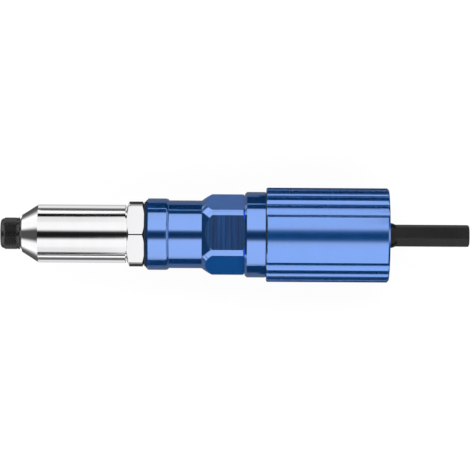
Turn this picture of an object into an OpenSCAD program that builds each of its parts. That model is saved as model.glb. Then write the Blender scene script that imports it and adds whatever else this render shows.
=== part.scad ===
// Pulling head for blind rivets that a power drill drives through its hex shank.
// The drill turns a lead screw, the screw draws a keyed carriage back along +X,
// and three jaws in the carriage's cone grip the rivet's mandrel and pull it.
// Millimetres. The tool's axis is X, the nose face is at the origin, the shank points to +X.

/* [Nosepiece] */
// Height of the knurled head above the thread
nose_head_h = 1.15; // [0.8:0.05:1.6]
// Length of the knurled head
nose_l = 6.2; // [4:0.1:9]
// Radius of the head's front edge
nose_round = 1.3; // [0.4:0.1:1.8]
// Bore for the rivet's mandrel
nose_bore_d = 3.1; // [1.6:0.1:3.2]
// Wall between the mandrel's bore and the nosepiece's thread
nose_thread_wall = 2.45; // [1.6:0.05:3.2]
// Wall of the tail that opens the jaws
nose_tail_wall = 1.05; // [0.8:0.05:1.4]
// Bevel on the end of the tail
nose_tail_bevel = 0.7; // [0.2:0.1:0.7]
// Radius of the undercut behind the knurled head, below the thread's diameter
nose_undercut = 0.5; // [0.2:0.1:0.8]

/* [Head] */
// Wall of the chromed barrel round the jaw case's bore
head_wall = 1.8; // [1.4:0.05:2.6]
// Width of the front face round the nosepiece's thread
head_tip_w = 1.4; // [1:0.05:1.8]
// Length of the narrow bevel on the front face
head_edge_l = 0.6; // [0.2:0.1:1]
// Depth of that bevel
head_edge_h = 0.75; // [0.4:0.05:1.1]
// Length of the cone
head_cone_l = 5.2; // [4:0.1:7]
// Length of the straight barrel
head_barrel_l = 27.9; // [25:0.1:32]
// Width of the relief groove in front of the spanner collar
head_groove_l = 0.5; // [0.2:0.1:0.8]
// Depth of that groove
head_groove_h = 0.7; // [0.4:0.05:1]
// Height of the spanner collar above the spigot
spanner_h = 1.4; // [1.2:0.05:2.2]
// Length of the spanner collar
spanner_l = 5.5; // [4:0.1:8]
// Depth of the spanner flats in the collar
spanner_cut = 1.3; // [0.7:0.05:1.6]
// Length of the bevel on the collar's front edge
spanner_bevel_l = 0.7; // [0.4:0.1:1.2]
// Depth of the bevel on the collar's front edge
spanner_bevel_h = 1.4; // [0.8:0.05:1.6]
// Length of the bevel on the collar's rear edge
spanner_back_bevel_l = 0.55; // [0.2:0.05:0.8]
// Depth of the bevel on the collar's rear edge
spanner_back_bevel_h = 1.05; // [0.4:0.05:1.2]
// Wall of the threaded spigot that screws into the front body
head_thread_wall = 1.5; // [1.1:0.05:2]
// Length of that spigot
head_thread_l = 9.1; // [7:0.1:11]
// Room between the front wall and the jaw case
case_room = 2.2; // [0.5:0.1:3]

/* [Front body] */
// Height of the front ring above the neck
ring_h = 0.6; // [0.3:0.05:1.2]
// Length of the front ring
ring_l = 6.3; // [4:0.1:8]
// Bevel on the ring's front edge
ring_bevel = 0.9; // [0.2:0.1:1.2]
// Length of the rounded shoulder from the ring down to the neck
ring_shoulder_l = 1.2; // [0.6:0.1:2]
// Wall of the neck round the head's spigot
neck_wall = 1.85; // [1.2:0.05:2.6]
// Length of the neck
neck_l = 10.5; // [9:0.1:14]
// Length of the slope from the neck up to the hexagon
hex_slope_l = 3.3; // [2.5:0.1:5]
// Height of the hexagon's flats above the neck
hex_flat_h = 0.8; // [0.5:0.05:1.4]
// Height of the hexagon's turned corners above its flats
hex_corner_h = 1.25; // [0.8:0.05:1.5]
// Length of the hexagon behind the slope
hex_l = 10.4; // [8:0.1:14]
// Length of the bevel on the rear ends of the hexagon's corners
hex_rear_bevel_l = 0.5; // [0.2:0.05:0.8]
// Depth of that bevel
hex_rear_bevel_h = 0.45; // [0.2:0.05:0.6]
// Height of the rear collar above the hexagon's corners
collar_h = 0.8; // [0.4:0.05:1.6]
// Length of the rear collar
collar_l = 6.6; // [5:0.1:9]
// Bevel on the collar's front edge
collar_bevel = 0.7; // [0.3:0.05:1]
// Wall of the rear thread that carries the grip sleeve
body_thread_wall = 4.4; // [3:0.1:4.8]
// Length of the rear thread
body_thread_l = 11.2; // [11:0.1:14]
// Step from the head's bore out to the bore that the carriage slides in
guide_step = 0.6; // [0.4:0.05:0.9]

/* [Grip sleeve] */
// Wall of the grip sleeve round the rear thread
sleeve_wall = 2.6; // [1.6:0.1:4]
// Length of the solid wall behind the bearing
sleeve_wall_l = 14; // [11:0.1:18]
// Bevel on the sleeve's front edge
sleeve_front_bevel = 0.35; // [0.1:0.05:0.6]
// Bevel on the sleeve's rear edge
sleeve_rear_bevel = 0.6; // [0.3:0.1:1.2]
// Number of groups of flutes
flute_groups = 3; // [2:1:3]
// Flutes in each group
flutes = 5; // [2:1:5]
// Radius of the flute cutter
flute_r = 3.8; // [3:0.1:4.5]
// Depth of each flute
flute_depth = 0.44; // [0.3:0.02:0.5]
// Width of the ridge between two flutes
flute_land = 0.1; // [0.1:0.02:0.6]

/* [Shank and lead screw] */
// Hexagon of the drive shank, across its flats
shank_flats = 6.35; // [6:0.05:6.8]
// Length of the shank that stands out of the sleeve
shank_l = 25.8; // [20:0.1:40]
// Diameter of the journal that runs in the rear bush
journal_d = 8; // [7.9:0.05:8.4]
// Length of the journal that shows behind the sleeve
journal_out_l = 0.8; // [0.8:0.1:3]
// Length of the slope from the journal to the hexagon
journal_slope_l = 2; // [0.5:0.1:2]
// Depth of the slope's end below the hexagon's flats
journal_slope_drop = 0.1; // [0.05:0.05:0.4]
// Bevel on the end of the shank
shank_bevel = 0.7; // [0.3:0.1:1]
// Outer diameter of the lead screw
screw_d = 10; // [9.6:0.1:10.4]
// Pitch of the lead screw
screw_pitch = 2; // [1:0.5:3]
// Bevel on the screw's front end
screw_bevel = 1; // [0.5:0.1:1.5]
// Height that the bearing washers stand above the thrust flange
flange_drop = 2; // [0.5:0.1:3]
// Thickness of the thrust flange
flange_l = 4; // [3:0.1:6]

/* [Thrust bearing] */
// Step from the rear thread down to the bearing washers
bearing_step = 0.5; // [0.3:0.1:1]
// Thickness of each washer
washer_l = 2.5; // [2:0.1:3]
// Width of the space for the balls between the washers
ball_space = 4; // [3.6:0.1:4.4]
// Depth that a ball sits in each raceway
race_depth = 0.4; // [0.2:0.05:0.6]
// Number of balls
balls = 9; // [6:1:9]
// Thickness of the cage
cage_l = 2; // [1.4:0.1:2.6]
// Room between the cage and what is round it
cage_room = 0.4; // [0.2:0.05:0.6]
// Room between the lead screw and the fixed washer
fixed_washer_room = 0.6; // [0.3:0.1:0.9]

/* [Carriage] */
// Travel of the carriage
stroke = 12; // [8:0.5:12]
// Height of the neck behind the jaw case above the thread
carriage_neck_h = 0.9; // [0.5:0.05:1.1]
// Length of that neck
carriage_neck_l = 15.3; // [14:0.1:16]
// Length of that thread
carriage_thread_l = 9.8; // [9.4:0.1:10]
// Turns of the lead screw's thread that the carriage's nut takes
nut_turns = 7; // [5:1:8]
// Room round the lead screw in front of the nut thread
screw_room = 0.5; // [0.2:0.05:0.8]
// Room round the spent mandrel in the carriage
mandrel_room = 0.95; // [0.4:0.05:1.4]
// Wall between the spring and the jaw case's thread
carriage_thread_wall = 1.3; // [1:0.05:1.6]
// Depth of that bore
spring_room_l = 10.8; // [10.4:0.1:12]
// Width of the guide keys
key_w = 3; // [2.5:0.1:4]
// Depth of each guide key in the body's wall
key_seat = 1.4; // [1:0.1:1.8]
// Depth of each guide key in the carriage
key_bite = 1.3; // [1:0.1:1.6]
// Length of the guide keys
key_l = 26; // [24:0.1:28]
// Thickness of the lock nut behind the jaw case
lock_nut_l = 2.4; // [1.8:0.1:2.8]
// Height of the lock nut above the thread
lock_nut_h = 0.9; // [0.6:0.05:1.2]
// Width of the lock nut's two spanner slots
lock_slot_w = 2; // [1.5:0.1:3]

/* [Jaws] */
// Wall of the jaw case round the carriage's thread
case_wall = 1.3; // [1:0.05:1.8]
// Thickness of the lip at the front of the jaw case
case_lip_l = 1.2; // [0.8:0.1:1.6]
// Room round the nosepiece's tail in that lip
case_lip_room = 0.6; // [0.4:0.05:0.8]
// Bevel on the front of the jaw case
case_bevel = 0.6; // [0.3:0.1:1]
// Half angle of the cone that closes the jaws
jaw_angle = 11; // [9:0.5:12]
// Length of a jaw
jaw_l = 9; // [8:0.1:9.4]
// Travel of a jaw along the cone
jaw_travel = 4.5; // [3.5:0.1:4.6]
// Bore of the closed jaws
jaw_bore_d = 1.9; // [1.6:0.1:2.1]
// Width of the gap between closed jaws
jaw_gap = 0.3; // [0.2:0.05:0.5]
// Number of teeth along a jaw
jaw_teeth = 7; // [4:1:8]
// Depth of a tooth
jaw_tooth_h = 0.2; // [0.1:0.02:0.24]
// Half angle of the pusher's front cone
pusher_angle = 60; // [50:1:65]
// Width of the pusher's flange outside the spring
pusher_rim = 0.45; // [0.2:0.05:0.7]
// Thickness of the pusher's flange
pusher_flange_l = 1.5; // [1:0.1:1.7]
// Wall of the pusher's stem
pusher_wall = 1; // [0.7:0.05:1.2]
// Length of the pusher's stem
pusher_stem_l = 7.5; // [5:0.1:8.5]
// Room round the mandrel in the pusher
pusher_room = 0.15; // [0.1:0.05:0.3]

/* [Spring] */
// Diameter of the spring wire
wire_d = 0.9; // [0.6:0.05:1]
// Room between the coils and the pusher's stem
coil_room = 0.45; // [0.2:0.05:0.6]
// Turns of the spring
coil_turns = 5; // [3:0.5:7]

/* [Bushes, rings and seals] */
// Wall of the rear bush
bush_wall = 2; // [1.2:0.1:3]
// Thickness of the bronze washer behind the flange
back_washer_l = 1.2; // [0.8:0.1:2]
// Thickness of the shank seal
seal_l = 1.9; // [1.2:0.1:3]
// Width of the shank seal's ring
seal_w = 2.7; // [2:0.1:3.6]
// Depth of the seal below the sleeve's end
seal_depth = 0.3; // [0.1:0.1:0.6]
// Thickness of the gasket in front of the front body
front_gasket_l = 0.4; // [0.2:0.1:0.8]
// Width of that gasket's ring
front_gasket_w = 1.3; // [0.8:0.05:1.5]
// Thickness of the gasket in front of the grip sleeve
rear_gasket_l = 0.3; // [0.2:0.1:0.9]
// Width of that gasket's ring
rear_gasket_w = 1; // [0.6:0.05:1.2]
// Thickness of the buffer ring that stops the carriage
buffer_l = 1; // [0.8:0.1:1.4]
// Width of the buffer ring's wall
buffer_w = 0.9; // [0.6:0.05:1]

/* [Clearances] */
// Radial clearance of parts that turn or slide in each other
running_gap = 0.05; // [0.02:0.01:0.08]
// Radial clearance of parts that are screwed or pressed together
thread_gap = 0.03; // [0.01:0.01:0.05]
// Radial clearance of the jaw case in the head
case_gap = 0.2; // [0.1:0.05:0.4]
// Radial room behind the open jaws in the jaw case
jaw_room = 0.2; // [0.1:0.05:0.4]
// Gap between two end faces that meet
face_gap = 0.1; // [0.02:0.01:0.15]
// Gap between the carriage and its stop
stop_gap = 0.25; // [0.1:0.05:0.4]

/* [Assembly angles] */
// Turn of the spanner collar about the axis
spanner_turn = 1; // [-30:1:30]
// Turn of the front body's hexagon about the axis
hex_turn = -3; // [-30:1:30]
// Turn of the flutes about the axis
flute_turn = 7; // [-60:1:60]
// Turn of the shank's hexagon about the axis
shank_turn = 13; // [-30:1:30]

/* [Hidden] */
// How far a cutting shape runs past what it cuts
over = 1;
// Facets of a spring turn, and sides of its wire
coil_steps = 18;
wire_sides = 8;
// Steps in a rounded edge
round_steps = 5;
// Angle between the two spanner flats that meet in a corner
spanner_spread = 60;

// A jaw moves along the cone by this much along the axis and across it
jaw_dx = jaw_travel * cos(jaw_angle);
jaw_dr = jaw_travel * sin(jaw_angle);

// Diameters, from the mandrel's bore outwards: each is the one inside it, a wall and a clearance
nose_thread_d = nose_bore_d + 2 * nose_thread_wall;
nose_tail_d = nose_bore_d + 2 * nose_tail_wall;
nose_d = nose_thread_d + 2 * nose_head_h;
pusher_bore_d = nose_bore_d + 2 * pusher_room;
pusher_stem_d = pusher_bore_d + 2 * pusher_wall;
coil_d = pusher_stem_d + 2 * coil_room + wire_d;
pusher_d = coil_d + wire_d + 2 * pusher_rim;
mandrel_room_d = nose_bore_d + 2 * mandrel_room;
case_lip_d = nose_tail_d + 2 * case_lip_room;
jaw_rear_r = case_lip_d / 2 + (jaw_l + jaw_dx) * tan(jaw_angle);
carriage_thread_d = 2 * (jaw_rear_r + jaw_room);
spring_room_d = carriage_thread_d - 2 * carriage_thread_wall;
carriage_neck_d = carriage_thread_d + 2 * carriage_neck_h;
lock_nut_d = carriage_thread_d + 2 * lock_nut_h;
case_d = carriage_thread_d + 2 * case_wall;
head_bore_d = case_d + 2 * case_gap;
head_d = head_bore_d + 2 * head_wall;
head_groove_d = head_d - 2 * head_groove_h;
head_tip_d = nose_thread_d + 2 * head_tip_w;
head_edge_d = head_tip_d + 2 * head_edge_h;
head_thread_d = head_bore_d + 2 * head_thread_wall;
spanner_d = head_thread_d + 2 * spanner_h;
spanner_flats = spanner_d - 2 * spanner_cut;
neck_d = head_thread_d + 2 * neck_wall;
ring_d = neck_d + 2 * ring_h;
hex_flats = neck_d + 2 * hex_flat_h;
hex_d = hex_flats + 2 * hex_corner_h;
collar_d = hex_d + 2 * collar_h;
guide_d = head_bore_d + 2 * guide_step;
body_thread_d = guide_d + 2 * body_thread_wall;
sleeve_d = body_thread_d + 2 * sleeve_wall;
bearing_d = body_thread_d - 2 * bearing_step;
flange_d = bearing_d - 2 * flange_drop;
ball_circle_d = (bearing_d + screw_d) / 2;
cage_w = (bearing_d - screw_d) / 2 - 2 * cage_room;
fixed_washer_bore_d = screw_d + 2 * fixed_washer_room;
screw_room_d = screw_d + 2 * screw_room;
bush_d = journal_d + 2 * bush_wall;
seal_d = journal_d + 2 * seal_w;
front_gasket_d = head_thread_d + 2 * front_gasket_w;
rear_gasket_d = body_thread_d + 2 * rear_gasket_w;

// Stations along the axis, from the nose face to the end of the shank
head_x = nose_l + face_gap;
barrel_x = head_x + head_edge_l + head_cone_l;
groove_x = barrel_x + head_barrel_l;
spanner_x = groove_x + head_groove_l;
head_thread_x = spanner_x + spanner_l;
head_end_x = head_thread_x + head_thread_l;
body_x = head_thread_x + front_gasket_l;
ring_end_x = body_x + ring_l;
neck_x = ring_end_x + ring_shoulder_l;
slope_x = neck_x + neck_l;
hex_x = slope_x + hex_slope_l;
collar_x = hex_x + hex_l;
body_thread_x = collar_x + collar_l;
body_end_x = body_thread_x + body_thread_l;
sleeve_x = body_thread_x + rear_gasket_l;
balls_x = body_end_x + washer_l;
turning_washer_x = balls_x + ball_space;
flange_x = turning_washer_x + washer_l;
back_washer_x = flange_x + flange_l + face_gap;
wall_x = back_washer_x + back_washer_l;
sleeve_end_x = wall_x + sleeve_wall_l;
seal_x = sleeve_end_x - seal_depth - seal_l;
journal_end_x = sleeve_end_x + journal_out_l;
shank_x = journal_end_x + journal_slope_l;
shank_end_x = sleeve_end_x + shank_l;

// Stations of the carriage and what it carries, at rest against the front stop.
// At the end of its stroke the carriage stands just in front of the bearing.
buffer_x = head_end_x + face_gap;
slide_x = buffer_x + buffer_l + stop_gap;
slide_end_x = body_end_x - stop_gap - stroke;
slide_l = slide_end_x - slide_x;
nut_x = slide_end_x - nut_turns * screw_pitch;
screw_x = nut_x + screw_bevel;
screw_room_x = screw_x - stroke - screw_bevel;
carriage_neck_x = slide_x - carriage_neck_l;
carriage_thread_x = carriage_neck_x - carriage_thread_l;
spring_end_x = carriage_thread_x + spring_room_l;
lock_nut_x = carriage_neck_x - face_gap - lock_nut_l;
case_end_x = lock_nut_x - face_gap;
key_x = body_end_x - face_gap - key_l;

// Radii of the running parts
journal_r = journal_d / 2;
slide_r = guide_d / 2 - 2 * running_gap;
nut_r = screw_d / 2 + running_gap;
ball_r = ball_space / 2 + race_depth - running_gap;
ball_circle_r = ball_circle_d / 2;

// The pusher's flange stands just in front of the carriage, and the jaws lean on its cone
pusher_x = carriage_thread_x - face_gap - pusher_flange_l;
pusher_cone_l = (pusher_d - pusher_bore_d) / 2 / tan(pusher_angle);
pusher_tip_x = pusher_x - pusher_cone_l;

// The jaw case's cone starts at the lip and ends a little behind the open jaws
jaw_skin = running_gap / cos(jaw_angle);
jaw_rear_x = pusher_tip_x + (jaw_rear_r - pusher_bore_d / 2) / tan(pusher_angle) - face_gap;
jaw_open_x = jaw_rear_x - jaw_l;
jaw_closed_x = jaw_open_x - jaw_dx;
cone_x = jaw_closed_x - face_gap;
case_x = cone_x - case_lip_l;
head_bore_x = case_x - case_room;
cone_end_x = cone_x + (carriage_thread_d - case_lip_d) / 2 / tan(jaw_angle);
nose_end_x = jaw_open_x - face_gap;
nose_thread_end_x = head_bore_x - nose_undercut;

// A sleeve flute's cutter, its place, and the angle that one flute and its ridge take up
flute_centre = sleeve_d / 2 - flute_depth + flute_r;
flute_half = acos((pow(sleeve_d / 2, 2) + pow(flute_centre, 2) - pow(flute_r, 2))
    / (sleeve_d * flute_centre));
flute_pitch = 2 * flute_half + flute_land / (sleeve_d / 2) * 180 / PI;
flute_group_angle = 360 / flute_groups;

$fn = 96;

// A turned solid on the axis, from points of [radius, station]
module turned(points) {
    rotate([0, 90, 0])
        rotate_extrude()
            polygon(points);
}

// A plain round bar on the axis
module bar(from, to, r) {
    translate([from, 0, 0])
        rotate([0, 90, 0])
            cylinder(r = r, h = to - from);
}

// A plain ring on the axis
module ring(from, to, r_out, r_in) {
    difference() {
        bar(from, to, r_out);
        bar(from - over, to + over, r_in);
    }
}

// The outline of a ball on the axis that passes through two places of a station and a radius
module edge_ball(x_1, r_1, x_2, r_2) {
    centre = (x_2 * x_2 + r_2 * r_2 - x_1 * x_1 - r_1 * r_1) / (2 * (x_2 - x_1));
    translate([0, centre])
        circle(r = norm([x_1 - centre, r_1]));
}

// A disc on the axis whose edges are turned to slightly domed bevels by one or two such balls
module domed_disc(from, to, r) {
    rotate([0, 90, 0])
        rotate_extrude()
            intersection() {
                translate([0, from])
                    square([r, to - from]);
                children(0);
                children($children - 1);
            }
}

// What a milling cutter takes off above a flat at the given height, over a stretch of the axis
module flat_cut(from, to, height, r) {
    translate([from, -r - over, height])
        cube([to - from, 2 * (r + over), r]);
}

// Points of the rounded shoulder from a side of radius r down to a smaller one
function shoulder(r, r_low, x, length) = [for (i = [0:round_steps])
    [r_low + (r - r_low) * cos(90 * i / round_steps), x + length * sin(90 * i / round_steps)]];

// Points of a quarter round that turns a face at station x into a side of radius r
function front_round(r, x, edge) = [for (i = [0:round_steps])
    [r - edge * (1 - sin(90 * i / round_steps)), x + edge * (1 - cos(90 * i / round_steps))]];

module nosepiece() {
    color([0.12, 0.12, 0.12])
        difference() {
            turned(concat(
                [[0, 0]],
                front_round(nose_d / 2, 0, nose_round),
                [[nose_d / 2, nose_l],
                 [nose_thread_d / 2 - nose_undercut, nose_l],
                 [nose_thread_d / 2 - nose_undercut, nose_l + nose_undercut],
                 [nose_thread_d / 2, nose_l + 2 * nose_undercut],
                 [nose_thread_d / 2, nose_thread_end_x],
                 [nose_tail_d / 2, nose_thread_end_x + nose_undercut],
                 [nose_tail_d / 2, nose_end_x - nose_tail_bevel],
                 [nose_tail_d / 2 - nose_tail_bevel, nose_end_x],
                 [0, nose_end_x]]));
            bar(-over, nose_end_x + over, nose_bore_d / 2);
        }
}

// The head's collar: a disc with bevelled edges and two pairs of spanner flats
module spanner_collar() {
    difference() {
        domed_disc(spanner_x, head_thread_x, spanner_d / 2) {
            edge_ball(spanner_x, spanner_d / 2 - spanner_bevel_h,
                spanner_x + spanner_bevel_l, spanner_d / 2);
            edge_ball(head_thread_x, spanner_d / 2 - spanner_back_bevel_h,
                head_thread_x - spanner_back_bevel_l, spanner_d / 2);
        }
        for (side = [0, 180], pair = [-1, 1])
            rotate([side + spanner_turn + pair * spanner_spread / 2, 0, 0])
                flat_cut(spanner_x - over, head_thread_x + over, spanner_flats / 2, spanner_d / 2);
    }
}

module head() {
    color([0.85, 0.86, 0.88])
        difference() {
            union() {
                turned([[0, head_x],
                    [head_tip_d / 2, head_x],
                    [head_edge_d / 2, head_x + head_edge_l],
                    [head_d / 2, barrel_x],
                    [head_d / 2, groove_x],
                    [head_groove_d / 2, groove_x],
                    [head_groove_d / 2, spanner_x + spanner_bevel_l],
                    [head_thread_d / 2, spanner_x + spanner_bevel_l],
                    [head_thread_d / 2, head_end_x],
                    [0, head_end_x]]);
                spanner_collar();
            }
            bar(head_x - over, head_bore_x + over, nose_thread_d / 2 + running_gap);
            bar(head_bore_x, head_end_x + over, head_bore_d / 2);
        }
}

module front_gasket() {
    color([0.1, 0.1, 0.1])
        ring(head_thread_x, body_x, front_gasket_d / 2, head_thread_d / 2 + thread_gap);
}

// The body's hexagon: a disc with a domed slope in front, bevelled corners and six milled flats
module body_hexagon() {
    difference() {
        domed_disc(slope_x - over, collar_x + over, hex_d / 2) {
            edge_ball(slope_x, neck_d / 2, hex_x, hex_d / 2);
            edge_ball(collar_x, hex_d / 2 - hex_rear_bevel_h,
                collar_x - hex_rear_bevel_l, hex_d / 2);
        }
        for (i = [0:5])
            rotate([hex_turn + i * 60, 0, 0])
                flat_cut(slope_x - 2 * over, collar_x + 2 * over, hex_flats / 2, hex_d / 2);
    }
}

module front_body() {
    color([0.1, 0.3, 0.8])
        difference() {
            union() {
                turned(concat(
                    [[0, body_x],
                     [ring_d / 2 - ring_bevel, body_x],
                     [ring_d / 2, body_x + ring_bevel]],
                    shoulder(ring_d / 2, neck_d / 2, ring_end_x, ring_shoulder_l),
                    [[neck_d / 2, collar_x],
                     [collar_d / 2 - collar_bevel, collar_x],
                     [collar_d / 2, collar_x + collar_bevel],
                     [collar_d / 2, body_thread_x],
                     [body_thread_d / 2, body_thread_x],
                     [body_thread_d / 2, body_end_x],
                     [0, body_end_x]]));
                body_hexagon();
            }
            bar(body_x - over, head_end_x + face_gap, head_thread_d / 2 + thread_gap);
            bar(body_x, body_end_x + over, guide_d / 2);
            for (side = [0, 180])
                rotate([side, 0, 0])
                    translate([key_x - face_gap, -key_w / 2 - thread_gap, 0])
                        cube([body_end_x + over - key_x + face_gap, key_w + 2 * thread_gap,
                            guide_d / 2 + key_seat + thread_gap]);
        }
}

module rear_gasket() {
    color([0.1, 0.1, 0.1])
        ring(body_thread_x, sleeve_x, rear_gasket_d / 2, body_thread_d / 2 + thread_gap);
}

// One flute's cutter, straight above the axis
module flute_cutter() {
    translate([0, 0, flute_centre])
        bar(sleeve_x - over, sleeve_end_x + over, flute_r);
}

module grip_sleeve() {
    color([0.1, 0.3, 0.8])
        difference() {
            turned([[0, sleeve_x],
                [sleeve_d / 2 - sleeve_front_bevel, sleeve_x],
                [sleeve_d / 2, sleeve_x + sleeve_front_bevel],
                [sleeve_d / 2, sleeve_end_x - sleeve_rear_bevel],
                [sleeve_d / 2 - sleeve_rear_bevel, sleeve_end_x],
                [0, sleeve_end_x]]);
            for (g = [0:flute_groups - 1], i = [0:flutes - 1])
                rotate([flute_turn + (g + 0.5) * flute_group_angle
                    + (i - (flutes - 1) / 2) * flute_pitch, 0, 0])
                    flute_cutter();
            bar(sleeve_x - over, body_end_x + face_gap, body_thread_d / 2 + thread_gap);
            bar(sleeve_x, wall_x, bearing_d / 2 + running_gap);
            bar(sleeve_x, sleeve_end_x + over, bush_d / 2 + thread_gap);
            bar(seal_x, sleeve_end_x + over, seal_d / 2 + thread_gap);
        }
}

module rear_bush() {
    color([0.72, 0.5, 0.25])
        ring(wall_x, seal_x, bush_d / 2, journal_r + running_gap);
}

module back_washer() {
    color([0.72, 0.5, 0.25])
        ring(back_washer_x, wall_x, flange_d / 2, journal_r + 2 * running_gap);
}

module shank_seal() {
    color([0.1, 0.1, 0.1])
        ring(seal_x, seal_x + seal_l, seal_d / 2, journal_r + running_gap);
}

module buffer_ring() {
    color([0.75, 0.3, 0.1])
        ring(buffer_x, buffer_x + buffer_l, guide_d / 2 - running_gap, guide_d / 2 - buffer_w);
}

module guide_keys() {
    color([0.55, 0.56, 0.58])
        for (side = [0, 180])
            rotate([side, 0, 0])
                translate([key_x, -key_w / 2, slide_r - key_bite])
                    cube([key_l, key_w, key_bite + key_seat + guide_d / 2 - slide_r]);
}

// One bearing washer between two stations, with its raceway in the face towards the balls
module race_washer(from, to, race_x, r_out, r_in) {
    difference() {
        ring(from, to, r_out, r_in);
        rotate([0, 90, 0])
            rotate_extrude()
                translate([ball_circle_r, race_x])
                    circle(r = ball_r + running_gap);
    }
}

module fixed_washer() {
    color([0.7, 0.71, 0.73])
        race_washer(body_end_x, balls_x, balls_x + ball_space / 2,
            bearing_d / 2, fixed_washer_bore_d / 2);
}

module turning_washer() {
    color([0.7, 0.71, 0.73])
        race_washer(turning_washer_x, flange_x, balls_x + ball_space / 2,
            bearing_d / 2 - 2 * running_gap, screw_d / 2 + thread_gap);
}

module spindle() {
    color([0.12, 0.12, 0.12]) {
        turned([[0, screw_x],
            [screw_d / 2 - screw_bevel, screw_x],
            [screw_d / 2, screw_x + screw_bevel],
            [screw_d / 2, flange_x],
            [flange_d / 2, flange_x],
            [flange_d / 2, flange_x + flange_l],
            [journal_r, flange_x + flange_l],
            [journal_r, journal_end_x],
            [0, journal_end_x]]);
        // The hexagon is milled from the round, and its end is turned to a bevel
        intersection() {
            rotate([shank_turn, 0, 0])
                rotate([0, 90, 0])
                    cylinder(d = shank_flats / cos(30), h = shank_end_x, $fn = 6);
            union() {
                bar(journal_end_x - over, shank_end_x - shank_bevel, journal_r);
                domed_disc(shank_end_x - 2 * shank_bevel, shank_end_x, journal_r)
                    edge_ball(shank_end_x - shank_bevel, journal_r,
                        shank_end_x, shank_flats / 2 / cos(30) - shank_bevel);
            }
        }
        // The slope that the milling cutters run out on
        domed_disc(journal_end_x - over, shank_x, journal_r)
            edge_ball(journal_end_x, journal_r, shank_x, shank_flats / 2 - journal_slope_drop);
    }
}

module bearing_cage() {
    color([0.8, 0.62, 0.25])
        difference() {
            ring(balls_x + (ball_space - cage_l) / 2, balls_x + (ball_space + cage_l) / 2,
                ball_circle_r + cage_w / 2, ball_circle_r - cage_w / 2);
            for (i = [0:balls - 1])
                rotate([i * 360 / balls, 0, 0])
                    translate([0, 0, ball_circle_r])
                        bar(balls_x, turning_washer_x, ball_r + 2 * running_gap);
        }
}

module bearing_balls() {
    color([0.8, 0.81, 0.83])
        for (i = [0:balls - 1])
            rotate([i * 360 / balls, 0, 0])
                translate([balls_x + ball_space / 2, 0, ball_circle_r])
                    sphere(r = ball_r);
}

module carriage() {
    color([0.6, 0.61, 0.63])
        difference() {
            turned([[0, carriage_thread_x],
                [carriage_thread_d / 2 - thread_gap, carriage_thread_x],
                [carriage_thread_d / 2 - thread_gap, carriage_neck_x],
                [carriage_neck_d / 2, carriage_neck_x],
                [carriage_neck_d / 2, slide_x],
                [slide_r, slide_x],
                [slide_r, slide_end_x],
                [0, slide_end_x]]);
            bar(carriage_thread_x - over, spring_end_x, spring_room_d / 2);
            bar(carriage_thread_x, slide_end_x, mandrel_room_d / 2);
            bar(screw_room_x, nut_x + over, screw_room_d / 2);
            bar(nut_x, slide_end_x + over, nut_r);
            for (side = [0, 180])
                rotate([side, 0, 0])
                    translate([slide_x - over, -key_w / 2 - running_gap,
                        slide_r - key_bite - running_gap])
                        cube([slide_l + 2 * over, key_w + 2 * running_gap, guide_d / 2]);
        }
}

module lock_nut() {
    color([0.5, 0.51, 0.53])
        difference() {
            ring(lock_nut_x, lock_nut_x + lock_nut_l, lock_nut_d / 2, carriage_thread_d / 2);
            translate([lock_nut_x - over, -lock_slot_w / 2, carriage_thread_d / 2 + thread_gap])
                cube([lock_nut_l + 2 * over, lock_slot_w, lock_nut_d]);
            translate([lock_nut_x - over, -lock_slot_w / 2,
                -carriage_thread_d / 2 - thread_gap - lock_nut_d])
                cube([lock_nut_l + 2 * over, lock_slot_w, lock_nut_d]);
        }
}

module jaw_case() {
    color([0.6, 0.61, 0.63])
        difference() {
            turned([[0, case_x],
                [case_d / 2 - case_bevel, case_x],
                [case_d / 2, case_x + case_bevel],
                [case_d / 2, case_end_x],
                [0, case_end_x]]);
            bar(case_x - over, cone_x + over, case_lip_d / 2);
            turned([[0, cone_x],
                [case_lip_d / 2, cone_x],
                [carriage_thread_d / 2, cone_end_x],
                [carriage_thread_d / 2, case_end_x + over],
                [0, case_end_x + over]]);
        }
}

module jaw_pusher() {
    color([0.5, 0.51, 0.53])
        difference() {
            turned([[0, pusher_tip_x],
                [pusher_bore_d / 2, pusher_tip_x],
                [pusher_d / 2, pusher_x],
                [pusher_d / 2, pusher_x + pusher_flange_l],
                [pusher_stem_d / 2, pusher_x + pusher_flange_l],
                [pusher_stem_d / 2, pusher_x + pusher_flange_l + pusher_stem_l],
                [0, pusher_x + pusher_flange_l + pusher_stem_l]]);
            bar(pusher_tip_x - over, pusher_x + pusher_flange_l + pusher_stem_l + over,
                pusher_bore_d / 2);
        }
}

// A wire of round section wound about the axis between two stations
module coil(from, to, r, wire_r, turns) {
    rings = ceil(turns * coil_steps);
    rise = atan((to - from) / (turns * 2 * PI * r));
    points = [for (i = [0:rings], j = [0:wire_sides - 1])
        let (a = 360 * turns * i / rings, b = 360 * j / wire_sides,
             out = r + wire_r * cos(b), side = wire_r * sin(b))
            [from + (to - from) * i / rings + side * cos(rise),
             -out * sin(a) + side * sin(rise) * cos(a),
             out * cos(a) + side * sin(rise) * sin(a)]];
    skin = [for (i = [0:rings - 1], j = [0:wire_sides - 1])
        let (k = (j + 1) % wire_sides, near = i * wire_sides, far = near + wire_sides)
            [near + j, far + j, far + k, near + k]];
    first = [for (j = [0:wire_sides - 1]) j];
    last = [for (j = [wire_sides - 1:-1:0]) rings * wire_sides + j];
    polyhedron(points, concat(skin, [first, last]));
}

module pusher_spring() {
    color([0.65, 0.66, 0.68])
        coil(pusher_x + pusher_flange_l + wire_d / 2 + face_gap,
            spring_end_x - wire_d / 2 - face_gap, coil_d / 2, wire_d / 2, coil_turns);
}

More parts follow.
